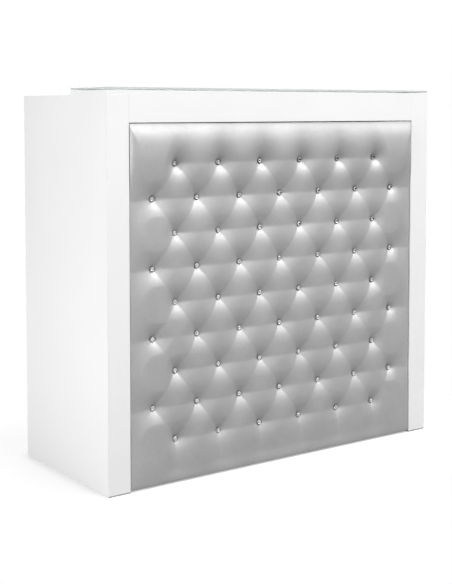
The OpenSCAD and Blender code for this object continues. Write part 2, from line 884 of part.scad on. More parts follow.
module partition() {
    color(white_inside) difference() {
        block([partition_x, board_rear_y, pad_floor_gap], [bay_x, carcass_rear_y, worktop_z]);
        partition_dowels(fit);
        cam_bolt_set(fit);
        shelf_pin_bores();
        partition_glide_nails(fit);
    }
}

module pedestal_board(low) {
    difference() {
        block([bay_x, board_rear_y, low], [side_in, carcass_rear_y, low + board_t]);
        cam_disc_set(fit, cut_past);
        cam_bolt_set(fit);
    }
}

module pedestal_bottom() {
    color(white_inside) pedestal_board(plinth_h);
}

module pedestal_divider() {
    color(white_inside) pedestal_board(divider_low);
}

module pedestal_plinth() {
    color(white_inside) block([bay_x, plinth_y, 0], [side_in, plinth_y + board_t, plinth_h]);
}

module shelf() {
    color(white_inside) block([bay_x + shelf_play, board_rear_y + screw_head_h + shelf_play,
        shelf_z], [side_in - shelf_play, shelf_rear_y, shelf_z + shelf_t]);
}

// Round in its hole, flat on top under the shelf
module shelf_pin() {
    rod_x([-pin_in, 0, 0], pin_d / 2, pin_in + bond);
    block([0, -pin_d / 2, -pin_d / 2], [pin_out, pin_d / 2, pin_d / 2]);
}

module shelf_pins() {
    color(steel) for (y = pin_ys) {
        translate([bay_x, y, pin_z]) shelf_pin();
        translate([side_in, y, pin_z]) mirror([1, 0, 0]) shelf_pin();
    }
}

// Disc with a cross slot, and its bolt
module cam_discs() {
    color(steel) difference() {
        cam_disc_set();
        for (z = [plinth_h, divider_low])
            for (x = cam_centre_xs)
                for (y = cam_ys)
                    translate([x, y, z]) {
                        block([-cross_l / 2, -cross_w / 2, -cut_past],
                            [cross_l / 2, cross_w / 2, cross_depth]);
                        block([-cross_w / 2, -cross_l / 2, -cut_past],
                            [cross_w / 2, cross_l / 2, cross_depth]);
                    }
    }
}

module cam_bolts() {
    color(steel) cam_bolt_set();
}

module dowels() {
    color([0.82, 0.68, 0.47]) {
        side_dowels();
        cap_dowels();
        partition_dowels();
    }
}

module partition_glide_nails(extra = 0) {
    for (y = partition_glide_ys)
        rod_z([partition_x + board_t / 2, y, pad_floor_gap - bond], glide_nail_d / 2 + extra,
            glide_nail_l + bond + extra);
}

module glide_foot(x, y) {
    translate([x, y, 0]) rotate_extrude()
        polygon([[0, 0], [glide_d / 2 - glide_chamfer, 0], [glide_d / 2, glide_chamfer],
            [glide_d / 2, pad_floor_gap], [0, pad_floor_gap]]);
}

module glides() {
    color([0.85, 0.85, 0.86]) {
        for (x = front_glide_xs)
            glide_foot(x, front_glide_y);
        for (y = partition_glide_ys)
            glide_foot(partition_x + board_t / 2, y);
        glide_nails();
        partition_glide_nails();
    }
}

// Drawer slides. A profile is drawn with its carcass face at x = 0 and its drawer face at
// x = slide_w, then set on both sides of the drawer.

module on_both_slides(y0, len) {
    translate([bay_x, y0 + len, slide_z]) rotate([90, 0, 0]) linear_extrude(len) children();
    translate([side_in, y0 + len, slide_z]) rotate([90, 0, 0]) linear_extrude(len)
        mirror([1, 0]) children();
}

// Channel with its web at x0 and its lips running to x1
module channel(x0, x1, half_h, sheet) {
    web = x1 > x0 ? x0 : x0 - sheet;
    translate([web, -half_h]) square([sheet, 2 * half_h]);
    for (z = [-half_h, half_h - sheet])
        translate([min(x0, x1), z]) square([abs(x1 - x0), sheet]);
}

module slide_cabinet_members() {
    color(steel) on_both_slides(slide_y0, slide_l)
        channel(0, lip_tip_x, slide_h / 2, slide_sheet);
}

module slide_middle_members() {
    color(steel) on_both_slides(slide_y0, slide_l)
        channel(middle_x, lip_tip_x, middle_out, slide_sheet);
}

module slide_drawer_members() {
    color(steel) on_both_slides(slide_y0, slide_l)
        channel(slide_w, inner_tip_x, inner_out, slide_sheet);
}

// Thin channel that carries two rows of balls on each slide
module ball_cage(web_x, ball_x, ball_z) {
    on_both_slides(cage_y0, cage_l)
        channel(web_x, ball_x + cage_rim, ball_z + cage_sheet / 2, cage_sheet);
    for (i = [0 : balls_each - 1])
        for (z = [-ball_z, ball_z]) {
            y = cage_y0 + ball_end + i * ball_step;
            translate([bay_x + ball_x, y, slide_z + z]) sphere(d = ball_d, $fn = 24);
            translate([side_in - ball_x, y, slide_z + z]) sphere(d = ball_d, $fn = 24);
        }
}

module outer_ball_cages() {
    color(steel) ball_cage(slide_sheet + (web_gap - cage_sheet) / 2,
        (middle_x + lip_tip_x) / 2, (outer_lip + middle_out) / 2);
}

module inner_ball_cages() {
    color(steel) ball_cage(middle_x + slide_sheet + (web_gap - cage_sheet) / 2,
        (inner_tip_x + lip_tip_x) / 2, (middle_in + inner_out) / 2);
}

// Drawer

module tray_groove(extra = 0) {
    block([box_x0 + drawer_side_t - groove_depth - extra, box_front_y - cut_past, tray_z - extra],
        [box_x1 - drawer_side_t + groove_depth + extra, fronts_in_y + groove_depth + extra,
        tray_z + drawer_floor_t + extra]);
}

module drawer_front() {
    color(white) difference() {
        block([front_x0, fronts_in_y, drawer_front_low], [front_x1, fronts_out_y, drawer_front_top]);
        tray_groove(fit);
        rod_y([lock_x, fronts_in_y - cut_past, lock_z], lock_d / 2 + fit, board_t + 2 * cut_past);
        drawer_handle_screw_bodies(fit, cut_past);
    }
}

module drawer_sides() {
    color(white_inside) difference() {
        for (x = [box_x0, box_x1 - drawer_side_t])
            block([x, box_front_y, box_low], [x + drawer_side_t, fronts_in_y, box_high]);
        tray_groove(fit);
    }
}

module drawer_back() {
    color(white_inside) block([box_x0 + drawer_side_t, box_front_y, tray_z + drawer_floor_t + fit],
        [box_x1 - drawer_side_t, box_front_y + drawer_side_t, box_high]);
}

module drawer_bottom() {
    color([0.88, 0.88, 0.86]) block([box_x0 + drawer_side_t - groove_depth, box_front_y, tray_z],
        [box_x1 - drawer_side_t + groove_depth, fronts_in_y + groove_depth,
        tray_z + drawer_floor_t]);
}

// Bar handle on two posts, along X, standing on the fronts
module bar_handle() {
    difference() {
        union() {
            rod_x([-handle_pitch / 2 - handle_over, bar_y, 0], handle_d / 2,
                handle_pitch + 2 * handle_over);
            for (x = [-handle_pitch / 2, handle_pitch / 2])
                rod_y([x, fronts_out_y, 0], post_d / 2, handle_stand);
        }
        handle_screws_at(fit, cut_past);
    }
}

// Two screws from the inside of a front into the posts
module handle_screws_at(extra = 0, past = 0) {
    for (x = [-handle_pitch / 2, handle_pitch / 2])
        rod_y([x, fronts_in_y - past, 0], handle_screw_d / 2 + extra,
            board_t + post_screw_l + extra + past);
}

module handle_screws_headed() {
    handle_screws_at();
    for (x = [-handle_pitch / 2, handle_pitch / 2])
        rod_y([x, fronts_in_y - screw_head_h, 0], screw_head_r, screw_head_h);
}

module drawer_handle_screw_bodies(extra = 0, past = 0) {
    translate([lock_x, 0, drawer_handle_z]) handle_screws_at(extra, past);
}

module drawer_handle() {
    color(steel) translate([lock_x, 0, drawer_handle_z]) bar_handle();
}

module drawer_handle_screws() {
    color(steel) translate([lock_x, 0, drawer_handle_z]) handle_screws_headed();
}

// Lock

// Tube with a flange on the drawer front
module lock_housing() {
    color(steel) translate([lock_x, 0, lock_z]) difference() {
        union() {
            rod_y([0, lock_rear_y, 0], lock_d / 2, lock_out_y - lock_rear_y);
            rod_y([0, fronts_out_y, 0], lock_d / 2 + lock_flange_w, lock_flange_t);
        }
        rod_y([0, lock_rear_y - cut_past, 0], plug_d / 2 + run_fit,
            lock_out_y - lock_rear_y + 2 * cut_past);
    }
}

// Plug with a keyway, and a stem behind it for the cam
module lock_plug() {
    color(steel) translate([lock_x, 0, lock_z]) difference() {
        union() {
            rod_y([0, cam_y, 0], plug_d / 2, lock_out_y - cam_y);
            rod_y([0, cam_y - cam_t - nut_t, 0], stem_r, cam_t + nut_t + bond);
        }
        block([-keyway_w / 2, lock_out_y - keyway_depth, -keyway_h / 2],
            [keyway_w / 2, lock_out_y + cut_past, keyway_h / 2]);
    }
}

module lock_cam() {
    color(steel) translate([lock_x, 0, lock_z]) difference() {
        union() {
            rod_y([0, cam_y - cam_t, 0], cam_w / 2, cam_t);
            block([0, cam_y - cam_t, -cam_w / 2], [cam_reach, cam_y, cam_w / 2]);
        }
        rod_y([0, cam_y - cam_t - cut_past, 0], stem_r + fit, cam_t + 2 * cut_past);
    }
}

module lock_nut() {
    color(steel) translate([lock_x, cam_y - cam_t - nut_t, lock_z]) rotate([-90, 0, 0])
        difference() {
            cylinder(r = nut_r, h = nut_t, $fn = 6);
            translate([0, 0, -cut_past]) cylinder(r = stem_r + fit, h = nut_t + 2 * cut_past);
        }
}

// Door

module door() {
    color(white) difference() {
        block([front_x0, fronts_in_y, door_low], [front_x1, fronts_out_y, door_top]);
        door_handle_turn() handle_screws_at(fit, cut_past);
        door_hinge_screw_bodies(fit, fit);
        for (z = hinge_zs)
            block([front_x1 - leaf_t, fronts_in_y - cut_past, z - hinge_l / 2],
                [front_x1 + cut_past, fronts_out_y + cut_past, z + hinge_l / 2]);
    }
}

module door_handle_turn() {
    translate([door_handle_x, 0, door_handle_z]) rotate([0, 90, 0]) children();
}

module door_handle() {
    color(steel) door_handle_turn() bar_handle();
}

module door_handle_screws() {
    color(steel) door_handle_turn() handle_screws_headed();
}

knuckle_l = (hinge_l - 2 * seat_gap) / 3;

// One knuckle with its bore, from a height above the hinge's middle
module knuckle(z) {
    rod_z([axis_x, axis_y, z], knuckle_r, knuckle_l);
}

module pin_bores() {
    for (z = hinge_zs)
        rod_z([axis_x, axis_y, z - hinge_l / 2 - cut_past], hinge_pin_d / 2 + run_fit,
            hinge_l + 2 * cut_past);
}

leaf_y0 = fronts_out_y - leaf_w;

// Leaves on the side panel, with the upper and lower knuckles
module hinge_fixed_leaves() {
    color(steel) difference() {
        for (z = hinge_zs) {
            block([side_in - leaf_t, leaf_y0, z - hinge_l / 2],
                [side_in, fronts_out_y - seat_gap, z + hinge_l / 2]);
            for (low = [z - hinge_l / 2, z + hinge_l / 2 - knuckle_l]) {
                knuckle(low);
                block([side_in - leaf_t, leaf_y0, low], [side_in, axis_y, low + knuckle_l]);
            }
        }
        pin_bores();
        hinge_screw_bodies(fit, fit);
    }
}

// Leaves on the door's edge, with the middle knuckle
module hinge_door_leaves() {
    color(steel) difference() {
        for (z = hinge_zs) {
            block([front_x1 - leaf_t, leaf_y0, z - hinge_l / 2],
                [front_x1, fronts_out_y, z + hinge_l / 2]);
            knuckle(z - knuckle_l / 2);
            block([front_x1 - leaf_t, leaf_y0, z - knuckle_l / 2],
                [front_x1, axis_y, z + knuckle_l / 2]);
        }
        pin_bores();
        door_hinge_screw_bodies(fit, fit);
    }
}

module hinge_pins() {
    color(steel) for (z = hinge_zs)
        rod_z([axis_x, axis_y, z - hinge_l / 2], hinge_pin_d / 2, hinge_l);
}

// Flush screws through the leaves
module hinge_screw_bodies(extra = 0, past = 0) {
    for (z = hinge_zs)
        for (dz = [-hinge_l / 3, hinge_l / 3]) {
            rod_x([side_in - leaf_t - past, leaf_y0 + leaf_w / 2, z + dz], leaf_head_r + extra,
                leaf_t + past);
            rod_x([side_in - bond, leaf_y0 + leaf_w / 2, z + dz], leaf_screw_r + extra,
                leaf_screw_l + bond + extra);
        }
}

module door_hinge_screw_bodies(extra = 0, past = 0) {
    for (z = hinge_zs)
        for (dz = [-hinge_l / 3, hinge_l / 3]) {
            rod_x([front_x1 - leaf_t, leaf_y0 + leaf_w / 2, z + dz], leaf_head_r + extra,
                leaf_t + past);
            rod_x([front_x1 - leaf_t - leaf_screw_l - extra, leaf_y0 + leaf_w / 2, z + dz],
                leaf_screw_r + extra, leaf_screw_l + bond + extra);
        }
}

module hinge_screws() {
    color(steel) hinge_screw_bodies();
}

module door_hinge_screws() {
    color(steel) door_hinge_screw_bodies();
}

module magnetic_catch() {
    color(dark) block([catch_x0, catch_y1 - catch_d, divider_low - catch_h],
        [catch_x0 + catch_l, catch_y1, divider_low]);
}

module catch_strike() {
    color(steel) block([catch_x0 + strike_edge, fronts_in_y - strike_t, divider_low - catch_h],
        [catch_x0 + catch_l - strike_edge, fronts_in_y, divider_low - strike_drop]);
}

side_panel_left();
side_panel_right();
front_stile_left();
front_stile_right();
front_top_rail();
foot_strips();
reveal_left();
reveal_right();
reveal_top();
front_board();
counter_cap();
counter_soffit();
counter_back_rail();
glass_bumpers();
counter_glass();
backboard();
tufted_pad();
button_rims();
button_crystals();
panel_screws();
worktop();
worktop_cleats();
cleat_screws();
grommet_ring();
grommet_cap();
partition();
pedestal_bottom();
pedestal_divider();
pedestal_plinth();
shelf();
shelf_pins();
cam_discs();
cam_bolts();
dowels();
glides();
slide_cabinet_members();
slide_middle_members();
slide_drawer_members();
outer_ball_cages();
inner_ball_cages();
drawer_front();
drawer_sides();
drawer_back();
drawer_bottom();
drawer_handle();
drawer_handle_screws();
lock_housing();
lock_plug();
lock_cam();
lock_nut();
door();
door_handle();
door_handle_screws();
hinge_fixed_leaves();
hinge_door_leaves();
hinge_pins();
hinge_screws();
door_hinge_screws();
magnetic_catch();
catch_strike();
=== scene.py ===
import json
import math

import bpy
import numpy as np
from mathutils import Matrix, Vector


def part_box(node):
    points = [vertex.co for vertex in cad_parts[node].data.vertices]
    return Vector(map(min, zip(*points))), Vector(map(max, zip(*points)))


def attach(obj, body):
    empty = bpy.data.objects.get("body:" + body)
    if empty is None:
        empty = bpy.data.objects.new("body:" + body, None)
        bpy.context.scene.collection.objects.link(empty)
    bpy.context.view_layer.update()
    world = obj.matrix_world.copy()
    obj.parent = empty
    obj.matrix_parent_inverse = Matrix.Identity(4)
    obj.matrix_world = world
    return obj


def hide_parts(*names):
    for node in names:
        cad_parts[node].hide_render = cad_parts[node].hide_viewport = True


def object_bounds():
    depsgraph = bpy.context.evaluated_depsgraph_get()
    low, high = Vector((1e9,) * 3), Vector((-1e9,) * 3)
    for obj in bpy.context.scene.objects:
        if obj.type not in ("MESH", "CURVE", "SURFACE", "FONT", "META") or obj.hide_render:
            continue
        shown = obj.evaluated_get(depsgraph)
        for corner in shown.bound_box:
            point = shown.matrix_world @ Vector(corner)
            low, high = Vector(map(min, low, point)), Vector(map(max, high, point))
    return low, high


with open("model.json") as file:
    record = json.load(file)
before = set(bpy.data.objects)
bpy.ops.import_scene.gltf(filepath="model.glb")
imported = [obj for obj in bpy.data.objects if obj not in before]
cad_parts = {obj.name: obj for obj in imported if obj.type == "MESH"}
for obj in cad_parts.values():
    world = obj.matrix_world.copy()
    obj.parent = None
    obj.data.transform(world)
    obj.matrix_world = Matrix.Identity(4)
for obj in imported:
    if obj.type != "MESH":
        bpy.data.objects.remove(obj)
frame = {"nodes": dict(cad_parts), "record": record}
CAD_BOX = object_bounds()
MM = 0.001
# Places closer than this are the same
SAME = 0.001 * MM
RECORD = frame["record"]
NODES = frame["nodes"]

# The photograph's camera
PHOTO_H = 584
FOCAL_PX = 1177.6
SHIFT_PX = 108.6
SENSOR_MM = 36
CAMERA_AT = Vector((-2.1783, -2.9788, 1.0550))
CAMERA_YAW = math.radians(54.208)
CAMERA_PITCH = math.radians(-3.600)


def make_camera():
    """A camera where the photographer stood, with part of the photograph's rising front."""
    data = bpy.data.cameras.new("camera")
    data.sensor_width = SENSOR_MM
    data.lens = FOCAL_PX / PHOTO_H * SENSOR_MM
    data.shift_y = -SHIFT_PX / PHOTO_H
    camera = bpy.data.objects.new("camera", data)
    look = Vector((math.cos(CAMERA_YAW) * math.cos(CAMERA_PITCH),
                   math.sin(CAMERA_YAW) * math.cos(CAMERA_PITCH), math.sin(CAMERA_PITCH)))
    camera.location = CAMERA_AT
    camera.rotation_euler = look.to_track_quat("-Z", "Y").to_euler()
    bpy.context.scene.collection.objects.link(camera)
    bpy.context.scene.camera = camera


# Node helpers


def node(tree, kind, inputs=None, **settings):
    """A shader node with its settings, and its inputs set to values or linked to sockets."""
    made = tree.nodes.new(kind)
    for name, value in settings.items():
        setattr(made, name, value)
    for name, value in (inputs or {}).items():
        if isinstance(value, bpy.types.NodeSocket):
            tree.links.new(value, made.inputs[name])
        else:
            made.inputs[name].default_value = value
    return made


def material(name, **sockets):
    """A material with a Principled shader whose sockets have these values."""
    made = bpy.data.materials.new(name)
    made.use_nodes = True
    shader = made.node_tree.nodes["Principled BSDF"]
    for key, value in sockets.items():
        shader.inputs[key.replace("_", " ")].default_value = value
    return made, made.node_tree, shader


def place(tree, stretch=(1, 1, 1)):
    """Points in metres on the object, stretched for grain that runs along one axis."""
    at = node(tree, "ShaderNodeTexCoord").outputs["Object"]
    return node(tree, "ShaderNodeMapping", {"Vector": at, "Scale": stretch}).outputs["Vector"]


def noise(tree, at, scale, detail=2.0, rough=0.5):
    """Noise from 0 to 1, with this many features per metre."""
    inputs = {"Vector": at, "Scale": scale, "Detail": detail, "Roughness": rough}
    return node(tree, "ShaderNodeTexNoise", inputs).outputs["Fac"]


def spread(tree, value, low, high):
    """Maps the middle of a noise to the range from low to high."""
    inputs = {"Value": value, "From Min": 0.3, "From Max": 0.7, "To Min": low, "To Max": high}
    return node(tree, "ShaderNodeMapRange", inputs).outputs["Result"]


def between(tree, fac, first, second):
    """A colour from first to second."""
    mix = node(tree, "ShaderNodeMix", data_type="RGBA")
    tree.links.new(fac, mix.inputs["Factor"])
    mix.inputs["A"].default_value = (*first, 1)
    mix.inputs["B"].default_value = (*second, 1)
    return mix.outputs["Result"]


def bump(tree, height, strength, depth, normal=None):
    """A bump of this depth in metres."""
    inputs = {"Height": height, "Strength": strength, "Distance": depth}
    if normal is not None:
        inputs["Normal"] = normal
    return node(tree, "ShaderNodeBump", inputs).outputs["Normal"]


def grey(value):
    return (value, value, value)


# Materials, one for each slot of the record


def white_gloss():
    """High-gloss lacquer with faint orange peel and wiping marks."""
    made, tree, shader = material("white_gloss", Coat_Weight=0.35, Coat_Roughness=0.04)
    at = place(tree)
    tree.links.new(between(tree, spread(tree, noise(tree, at, 5), 0, 1), grey(0.885), grey(0.905)),
                   shader.inputs["Base Color"])
    tree.links.new(spread(tree, noise(tree, at, 9, 4), 0.10, 0.20), shader.inputs["Roughness"])
    tree.links.new(bump(tree, noise(tree, at, 420, 1), 0.10, 0.02 * MM), shader.inputs["Normal"])
    return made


def white_laminate():
    """Satin laminate with a fine pearl texture."""
    made, tree, shader = material("white_laminate")
    at = place(tree)
    tree.links.new(between(tree, noise(tree, at, 7, 3), grey(0.83), grey(0.87)),
                   shader.inputs["Base Color"])
    tree.links.new(spread(tree, noise(tree, at, 30, 3), 0.42, 0.55), shader.inputs["Roughness"])
    tree.links.new(bump(tree, noise(tree, at, 1400, 2), 0.25, 0.05 * MM), shader.inputs["Normal"])
    return made


def wood(name, light, dark, stretch):
    """Raw wood with its grain along one axis."""
    made, tree, shader = material(name)
    at = place(tree, stretch)
    grain = noise(tree, at, 60, 6, 0.65)
    tree.links.new(between(tree, spread(tree, grain, 0, 1), light, dark), shader.inputs["Base Color"])
    tree.links.new(spread(tree, grain, 0.55, 0.75), shader.inputs["Roughness"])
    tree.links.new(bump(tree, grain, 0.35, 0.2 * MM), shader.inputs["Normal"])
    return made


def hardboard():
    return wood("hardboard", grey(0.78), grey(0.70), (1, 1, 1))


def plywood():
    return wood("plywood", (0.60, 0.44, 0.27), (0.42, 0.28, 0.15), (0.06, 1, 1))


def batten():
    return wood("batten", (0.68, 0.50, 0.30), (0.50, 0.33, 0.17), (0.12, 0.12, 1))


def counter_glass():
    """Clear float glass with ground edges."""
    made, tree, shader = material("counter_glass", IOR=1.52)
    facing = node(tree, "ShaderNodeSeparateXYZ",
                  {"Vector": node(tree, "ShaderNodeTexCoord").outputs["Normal"]}).outputs["Z"]
    level = node(tree, "ShaderNodeMath", {0: facing}, operation="ABSOLUTE").outputs[0]
    flat = node(tree, "ShaderNodeMapRange", {"Value": level, "From Min": 0.6, "From Max": 0.9})
    flat = flat.outputs["Result"]
    smear = spread(tree, noise(tree, place(tree), 6, 3), 0.0, 0.02)
    ground = node(tree, "ShaderNodeMapRange", {"Value": flat, "To Min": 0.35})
    tree.links.new(smear, ground.inputs["To Max"])
    clear = node(tree, "ShaderNodeMapRange", {"Value": flat, "To Min": 0.25, "To Max": 1.0})
    tree.links.new(between(tree, flat, (0.64, 0.67, 0.66), (0.97, 0.985, 0.98)),
                   shader.inputs["Base Color"])
    tree.links.new(ground.outputs["Result"], shader.inputs["Roughness"])
    tree.links.new(clear.outputs["Result"], shader.inputs["Transmission Weight"])
    depth = node(tree, "ShaderNodeVolumeAbsorption", {"Color": (0.55, 0.78, 0.72, 1), "Density": 1.0})
    tree.links.new(depth.outputs["Volume"], tree.nodes["Material Output"].inputs["Volume"])
    return made


def clear_plastic():
    made, tree, shader = material("clear_plastic", Base_Color=(0.90, 0.92, 0.92, 1),
                                  Transmission_Weight=0.85, IOR=1.49)
    tree.links.new(spread(tree, noise(tree, place(tree), 300), 0.12, 0.25), shader.inputs["Roughness"])
    return made


def leatherette():
    """Silver-grey coated cloth with a satin sheen and a fine grain that runs across the panel."""
    made, tree, shader = material("leatherette", Metallic=0.88)
    at = place(tree)
    pebbles = noise(tree, place(tree, (0.3, 1, 1)), 1100, 3, 0.6)
    cloud = noise(tree, at, 14, 4)
    tree.links.new(between(tree, spread(tree, cloud, 0, 1), grey(0.57), grey(0.61)),
                   shader.inputs["Base Color"])
    tree.links.new(spread(tree, noise(tree, at, 90, 3), 0.66, 0.74), shader.inputs["Roughness"])
    tree.links.new(bump(tree, pebbles, 0.5, 0.18 * MM), shader.inputs["Normal"])
    return made


def metal(name, tint, rough, stretch, depth=0.02 * MM):
    """Metal with brush marks or a plated mottle."""
    made, tree, shader = material(name, Base_Color=(*tint, 1), Metallic=1.0)
    marks = noise(tree, place(tree, stretch), 700, 3, 0.6)
    tree.links.new(spread(tree, marks, rough * 0.8, rough * 1.25), shader.inputs["Roughness"])
    tree.links.new(bump(tree, marks, 0.15, depth), shader.inputs["Normal"])
    return made


# Partly painted shade: the rims' dark grey is partly their own tone and partly stands in for the shade
# round each button, so each rim reads as a dark ring round its stone.
def button_metal():
    return metal("button_metal", grey(0.46), 0.26, (1, 1, 1))


def satin_chrome():
    return metal("satin_chrome", (0.66, 0.67, 0.69), 0.26, (0.02, 1, 1))


def zinc_steel():
    return metal("zinc_steel", (0.60, 0.62, 0.65), 0.34, (0.3, 0.3, 0.3))


def crystal():
    """Cut glass."""
    made, tree, shader = material("crystal", Base_Color=(0.97, 0.98, 1.0, 1),
                                  Transmission_Weight=1.0, IOR=1.60)
    tree.links.new(spread(tree, noise(tree, place(tree), 900), 0.0, 0.02), shader.inputs["Roughness"])
    return made


def silvered():
    """Silvering on the back of a cut stone."""
    made, tree, shader = material("silvered", Base_Color=(0.78, 0.79, 0.80, 1), Metallic=0.5)
    tree.links.new(spread(tree, noise(tree, place(tree), 900), 0.30, 0.40), shader.inputs["Roughness"])
    return made


def moulded(name, tint, rough):
    """Moulded plastic with a spark-eroded texture."""
    made, tree, shader = material(name)
    at = place(tree)
    tree.links.new(between(tree, noise(tree, at, 60, 3), tuple(c * 0.92 for c in tint), tint),
                   shader.inputs["Base Color"])
    tree.links.new(spread(tree, noise(tree, at, 200, 2), rough * 0.9, rough * 1.15),
                   shader.inputs["Roughness"])
    tree.links.new(bump(tree, noise(tree, at, 2500, 2), 0.4, 0.04 * MM), shader.inputs["Normal"])
    return made


def dark_plastic():
    return moulded("dark_plastic", grey(0.035), 0.5)


def grey_plastic():
    return moulded("grey_plastic", grey(0.34), 0.5)


def pale_plastic():
    return moulded("pale_plastic", grey(0.66), 0.5)


MAKERS = {f.__name__: f for f in (
    white_gloss, white_laminate, hardboard, plywood, batten, counter_glass, clear_plastic,
    leatherette, button_metal, crystal, dark_plastic, grey_plastic, pale_plastic, satin_chrome,
    zinc_steel)}
MATERIALS = {m["slot"]: MAKERS[m["slot"]]() for m in RECORD["materials"]}


# Softened edges of the boards and metal pieces
BEVELS = {"white_gloss": 0.8 * MM, "white_laminate": 0.6 * MM, "satin_chrome": 0.3 * MM,
          "dark_plastic": 0.5 * MM, "batten": 0.6 * MM, "counter_glass": 0.6 * MM}
BEVEL_ANGLE = math.radians(40)


def dress_cad():
    """Gives every CAD node its material, and a small rounding to the edges that hands touch."""
    for row in RECORD["subparts"]:
        piece, slot = NODES[row["node"]], row["material_slot"]
        piece.data.materials.clear()
        piece.data.materials.append(MATERIALS[slot])
        if slot in BEVELS:
            weld = piece.modifiers.new("weld", "WELD")
            weld.merge_threshold = SAME
            bevel = piece.modifiers.new("bevel", "BEVEL")
            bevel.width = BEVELS[slot]
            bevel.segments = 2
            bevel.limit_method = "ANGLE"
            bevel.angle_limit = BEVEL_ANGLE
            bevel.harden_normals = True


# Upholstered panel

PAD_LOW, PAD_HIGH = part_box("tufted_pad")
GEM_LOW, GEM_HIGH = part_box("button_crystals")
# Radii of a crystal and of its rim
GEM_R = 6.3 * MM
RIM_R = 8 * MM
# Rows of buttons, and buttons in a wide row
ROWS = 9
WIDE = 7
FIELD_X = GEM_HIGH.x - GEM_R
ROW_Z = [GEM_LOW.z + GEM_R + k * (GEM_HIGH.z - GEM_LOW.z - 2 * GEM_R) / (ROWS - 1)
         for k in range(ROWS)]
PITCH = 2 * FIELD_X / (WIDE - 1)
# A pleat joins buttons of neighbouring rows that are less than this apart across
NEIGHBOUR = 0.6 * PITCH
# Depth of the buttons' seats behind the solid panel's front, and height of the cover's seams over them
SEAT_DEPTH = 14 * MM
SEAM_RAISE = 1.0 * MM
SEAT_Y = PAD_LOW.y + SEAT_DEPTH
SEAM_Y = SEAT_Y - SEAM_RAISE
# How far the cover's crown stands in front of the solid panel, and how far near its upper edge
PROUD = 4 * MM
TOP_PROUD = 16 * MM
# Where below the upper edge the crown starts to rise from one to the other, and over which height
RISE_BELOW = 240 * MM
RISE_H = 160 * MM
# How far the cover's edges stand in front of the solid panel, and the radius of their roll
EDGE_PROUD = 2.5 * MM
EDGE_Y = PAD_LOW.y - EDGE_PROUD
ROLL = 2 * MM
# Reach of the padding's fall toward its edges, and how far it goes past the edges' level
TOP_FALL, TOP_SINK = 30 * MM, 1.5 * MM
SIDE_FALL = 9 * MM
LOW_FALL, LOW_SINK = 8 * MM, 1 * MM
# Share of the relief that is left at the edges, and distance from them where it is whole
EDGE_RELIEF = 0.35
RELIEF_FROM = 40 * MM
# Distance of the cover's mesh lines, and lines on each roll
COVER_STEP = 2.2 * MM
ROLL_STEPS = 8
# Rings of points on the cover's flank, and how far the flank draws in at the back
FLANK_STEPS = 5
FLANK_DRAW = 2 * MM


def button_rows():
    """Places of the buttons, row by row from below. Rows of 6 and 7 alternate."""
    rows = []
    for k, z in enumerate(ROW_Z):
        count = WIDE - 1 if k % 2 == 0 else WIDE
        rows.append([((i - (count - 1) / 2) * PITCH, z) for i in range(count)])
    return rows


def smooth(t):
    """An even step from 0 to 1."""
    t = np.clip(t, 0, 1)
    return t * t * (3 - 2 * t)


def crown(z):
    """Y of the cover's crown at a height."""
    rise = smooth((z - (PAD_HIGH.z - RISE_BELOW)) / RISE_H)
    return PAD_LOW.y - PROUD - (TOP_PROUD - PROUD) * rise


